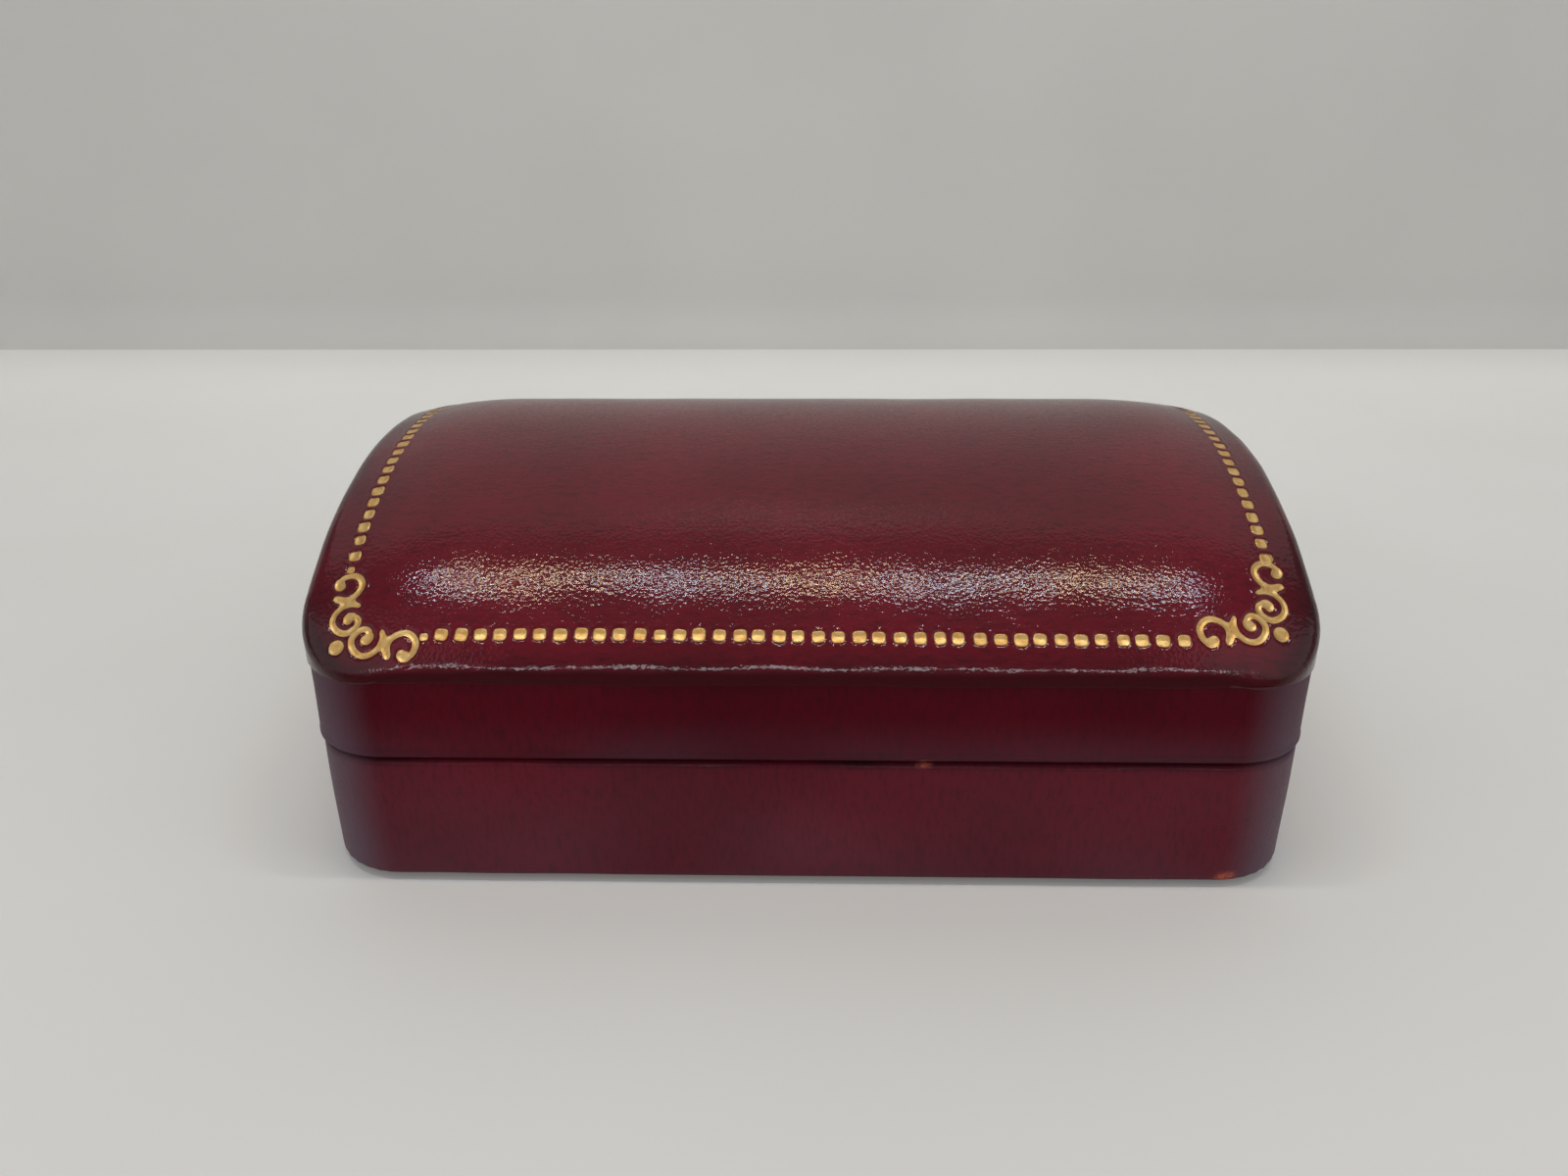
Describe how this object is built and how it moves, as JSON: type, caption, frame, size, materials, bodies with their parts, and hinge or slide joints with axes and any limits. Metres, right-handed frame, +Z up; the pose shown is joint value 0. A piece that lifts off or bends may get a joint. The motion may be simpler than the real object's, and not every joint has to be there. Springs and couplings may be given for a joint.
{
  "type": "leather trinket box",
  "caption": "Small leather-covered box with a domed lid hinged at the back, a gold-tooled border with corner scrolls, and a velvet-lined inside for trinkets.",
  "frame": {"origin": "middle of the bottom face, on the surface the box stands on", "axes": "+X along the front to the right, +Y to the back where the hinges are, +Z up"},
  "size_m": [0.11, 0.081, 0.0436],
  "materials": {
    "burgundy_leather": "glazed, fine grain",
    "bottom_leather": "matte",
    "carcass_wood": "sanded, bare",
    "velvet": "short pile",
    "hinge_brass": "polished, slightly dulled",
    "gold_foil": "gold leaf"
  },
  "bodies": {
    "base": {"base_frame": "carcass_wood", "base_floor": "carcass_wood", "base_wall_leather": "burgundy_leather", "base_bottom_leather": "bottom_leather", "base_wall_lining": "velvet", "base_floor_pad": "velvet", "hinge_base_leaf_left": "hinge_brass", "hinge_base_leaf_right": "hinge_brass", "hinge_pin_left": "hinge_brass", "hinge_pin_right": "hinge_brass", "base_hinge_nails": "hinge_brass"},
    "lid": {"lid_frame": "carcass_wood", "lid_dome": "carcass_wood", "lid_wall_leather": "burgundy_leather", "lid_top_leather": "burgundy_leather", "lid_wall_lining": "velvet", "lid_dome_lining": "velvet", "hinge_lid_leaf_left": "hinge_brass", "hinge_lid_leaf_right": "hinge_brass", "lid_hinge_nails": "hinge_brass", "gold_border_dashes": "gold_foil", "gold_corner_scrolls": "gold_foil"}
  },
  "joints": [
    {"name": "lid_hinge", "type": "hinge", "parent": "base", "child": "lid", "pos_m": [0, 0.0385, 0.0163], "axis": [-1, 0, 0], "range_deg": [0, 100]}
  ]
}
